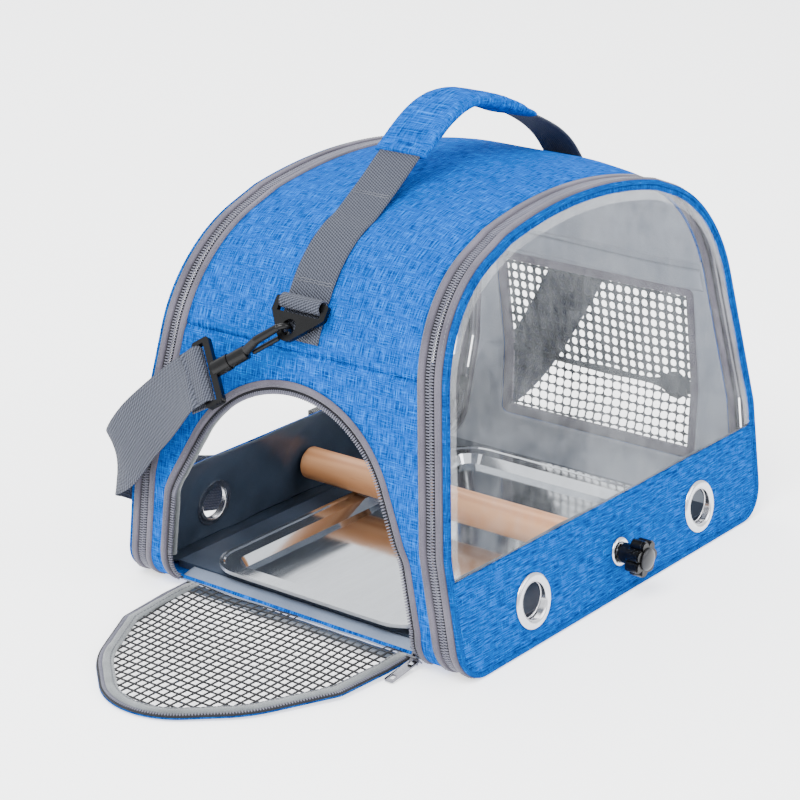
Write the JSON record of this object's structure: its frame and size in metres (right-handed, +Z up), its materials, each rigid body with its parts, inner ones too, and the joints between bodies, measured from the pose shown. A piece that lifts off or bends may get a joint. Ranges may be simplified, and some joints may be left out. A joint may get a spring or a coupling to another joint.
{
  "type": "bird travel carrier",
  "caption": "Soft-sided travel carrier for a small bird: arched fabric cabin with clear zipped panels, net door, wooden perch, slide-out metal tray, padded handle and shoulder strap.",
  "frame": {"origin": "centre of the flat underside, at the height of the lowest point", "axes": "+X towards the end with the net window, away from the net door; -Y towards the panel with the perch's knob; +Z up"},
  "size_m": [0.5062, 0.3013, 0.3041],
  "materials": {
    "blue_cloth": "woven melange cloth in two blues, slightly rough",
    "grey_binding": "fine ribbed binding tape",
    "zip_coil": "nylon coil on woven tape",
    "webbing": "ribbed webbing",
    "dark_lining": "coated lining with a soft sheen",
    "grey_lining": "coated lining",
    "soft_binding": "brushed soft binding",
    "net": "knitted net",
    "clear_film": "flexible clear sheet, glossy",
    "nickel": "bright nickel plating",
    "beech": "smooth sanded hardwood",
    "bright_tray": "mirror-bright sheet metal",
    "black_plastic": "moulded, satin gloss"
  },
  "bodies": {
    "carrier": {"floor_cloth": "blue_cloth", "base_board": "dark_lining", "left_end_wall": "blue_cloth", "right_end_wall": "blue_cloth", "top_cover": "blue_cloth", "cabin_lining": "grey_lining", "front_hoop_binding": "grey_binding", "back_hoop_binding": "grey_binding", "front_hoop_zip": "zip_coil", "back_hoop_zip": "zip_coil", "doorway_binding": "grey_binding", "doorway_zip": "zip_coil", "right_net": "net", "right_net_binding": "grey_binding", "handle_webbing": "webbing", "handle_grip": "blue_cloth", "ring_loops": "webbing", "shoulder_strap": "webbing", "strap_adjuster": "black_plastic", "back_border": "blue_cloth", "back_band": "blue_cloth", "back_window": "clear_film", "back_piping": "blue_cloth", "back_panel_binding": "grey_binding", "back_panel_zip": "zip_coil", "back_band_lining": "dark_lining", "back_eyelets": "nickel"},
    "front_panel": {"front_border": "blue_cloth", "front_band": "blue_cloth", "front_window": "clear_film", "front_piping": "blue_cloth", "front_panel_binding": "grey_binding", "front_panel_zip": "zip_coil", "front_band_lining": "dark_lining", "front_eyelets": "nickel", "perch": "beech", "perch_screw": "nickel"},
    "perch_knob": {"perch_knob": "black_plastic"},
    "door": {"door_net": "net", "door_binding": "soft_binding", "door_zip": "zip_coil", "door_rim": "blue_cloth"},
    "tray": {"tray": "bright_tray"},
    "door_slider": {"door_slider": "nickel"},
    "door_pull": {"door_pull": "nickel"},
    "front_slider": {"front_slider": "nickel"},
    "front_pull": {"front_pull": "nickel"},
    "back_slider": {"back_slider": "nickel"},
    "back_pull": {"back_pull": "nickel"},
    "left_ring": {"left_ring": "black_plastic", "left_strap_frame": "black_plastic"},
    "left_hook": {"left_hook": "black_plastic"},
    "left_gate": {"left_gate": "black_plastic"},
    "right_ring": {"right_ring": "black_plastic", "right_strap_frame": "black_plastic"},
    "right_hook": {"right_hook": "black_plastic"},
    "right_gate": {"right_gate": "black_plastic"}
  },
  "joints": [
    {"name": "front_panel_hinge", "type": "hinge", "parent": "carrier", "child": "front_panel", "pos_m": [0, -0.1319, 0.002], "axis": [1, 0, 0], "range_deg": [0, 60]},
    {"name": "perch_knob_spin", "type": "hinge", "parent": "front_panel", "child": "perch_knob", "pos_m": [0, -0.13688, 0.0272], "axis": [0, 1, 0], "continuous": true},
    {"name": "door_hinge", "type": "hinge", "parent": "carrier", "child": "door", "pos_m": [-0.15825, 0, 0.0042], "axis": [0, -1, 0], "range_deg": [-88, 0]},
    {"name": "tray_slide", "type": "slide", "parent": "carrier", "child": "tray", "axis": [-1, 0, 0], "range_m": [0, 0.3]},
    {"name": "door_slider_travel", "type": "hinge", "parent": "carrier", "child": "door_slider", "pos_m": [-0.145, -0.0918, 0.023], "axis": [0, 1, 0], "range_deg": [0, 46]},
    {"name": "door_pull_hinge", "type": "hinge", "parent": "door_slider", "child": "door_pull", "pos_m": [-0.16216, -0.0918, 0.00394], "axis": [0, -1, 0], "range_deg": [-45, 60]},
    {"name": "front_slider_travel", "type": "slide", "parent": "carrier", "child": "front_slider", "axis": [0.038, 0.1461, 0.9885], "range_m": [0, 0.028]},
    {"name": "front_pull_hinge", "type": "hinge", "parent": "front_slider", "child": "front_pull", "pos_m": [0.1703, -0.11479, 0.03987], "axis": [0.0056, -0.9893, 0.146], "range_deg": [0, 60]},
    {"name": "back_slider_travel", "type": "slide", "parent": "carrier", "child": "back_slider", "axis": [0.038, -0.1461, 0.9885], "range_m": [0, 0.028]},
    {"name": "back_pull_hinge", "type": "hinge", "parent": "back_slider", "child": "back_pull", "pos_m": [0.1703, 0.11479, 0.03987], "axis": [-0.0056, -0.9893, -0.146], "range_deg": [0, 60]},
    {"name": "left_ring_swing", "type": "hinge", "parent": "carrier", "child": "left_ring", "pos_m": [-0.14799, 0, 0.19851], "axis": [0, 1, 0], "range_deg": [0, 24], "deforming": ["shoulder_strap"]},
    {"name": "left_hook_swivel", "type": "hinge", "parent": "left_ring", "child": "left_hook", "pos_m": [-0.17247, 0.03671, 0.16221], "axis": [-0.3594, 0.766, -0.5329], "range_deg": [-12, 12]},
    {"name": "left_gate_hinge", "type": "hinge", "parent": "left_hook", "child": "left_gate", "pos_m": [-0.1635, 0.0243, 0.16872], "axis": [-0.4284, -0.6428, -0.6351], "range_deg": [0, 12], "stiffness_Nm_per_rad": 0.02, "springref_deg": -5.73},
    {"name": "right_ring_swing", "type": "hinge", "parent": "carrier", "child": "right_ring", "pos_m": [0.14799, 0, 0.19851], "axis": [0, -1, 0], "range_deg": [0, 24], "deforming": ["shoulder_strap"]},
    {"name": "right_hook_swivel", "type": "hinge", "parent": "right_ring", "child": "right_hook", "pos_m": [0.17838, 0.02366, 0.15345], "axis": [0.4937, 0.4695, -0.732], "range_deg": [-12, 12]},
    {"name": "right_gate_hinge", "type": "hinge", "parent": "right_hook", "child": "right_gate", "pos_m": [0.16723, 0.01605, 0.16318], "axis": [-0.2625, 0.8829, 0.3892], "range_deg": [0, 12], "stiffness_Nm_per_rad": 0.02, "springref_deg": -5.73}
  ]
}
